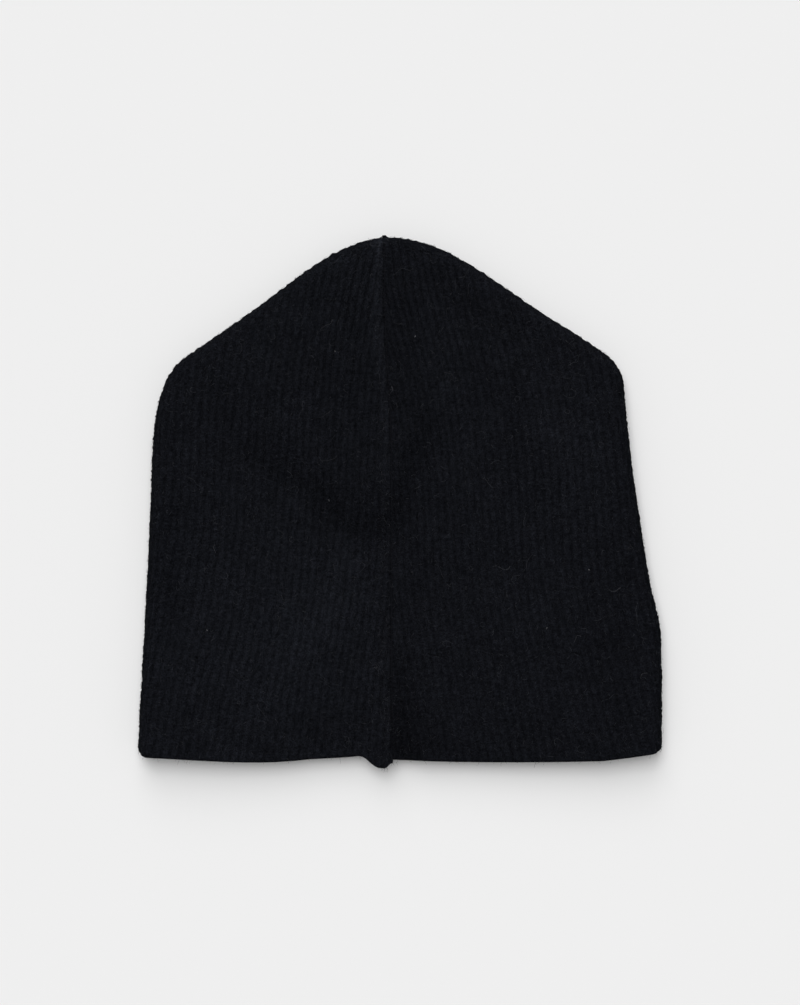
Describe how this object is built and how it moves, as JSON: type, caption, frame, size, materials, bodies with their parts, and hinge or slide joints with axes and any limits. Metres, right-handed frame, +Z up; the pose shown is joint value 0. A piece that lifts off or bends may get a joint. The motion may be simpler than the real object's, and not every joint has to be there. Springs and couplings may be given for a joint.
{
  "type": "balaclava",
  "caption": "Rib-knit wool balaclava lying flat, back upwards: two half panels joined by a centre seam, open at the neck, with a banded oval face opening underneath.",
  "frame": {"origin": "under the middle of the whole object, on the surface that it lies on", "axes": "+X across the back to the right as seen from above, +Y from the neck hem to the crown, +Z up off the surface, the back of the balaclava on top"},
  "size_m": [0.3, 0.3064, 0.018],
  "materials": {
    "rib_knit": "fuzzy brushed wool rib knit, blue-black, matt",
    "rib_band": "folded wool rib trim, blue-black, matt",
    "linking_thread": "plied wool linking yarn, blue-black",
    "sewing_thread": "spun polyester sewing thread, black",
    "label_satin": "woven satin ribbon, black, blank"
  },
  "bodies": {
    "root": {"left_panel": "rib_knit", "right_panel": "rib_knit", "centre_back_seam_thread": "linking_thread", "forehead_seam_thread": "linking_thread", "chin_seam_thread": "linking_thread", "face_band": "rib_band", "face_band_seam_thread": "linking_thread", "face_band_join_thread": "linking_thread", "crown_thread_knot": "linking_thread", "care_label": "label_satin", "care_label_stitches": "sewing_thread"}
  },
  "joints": []
}
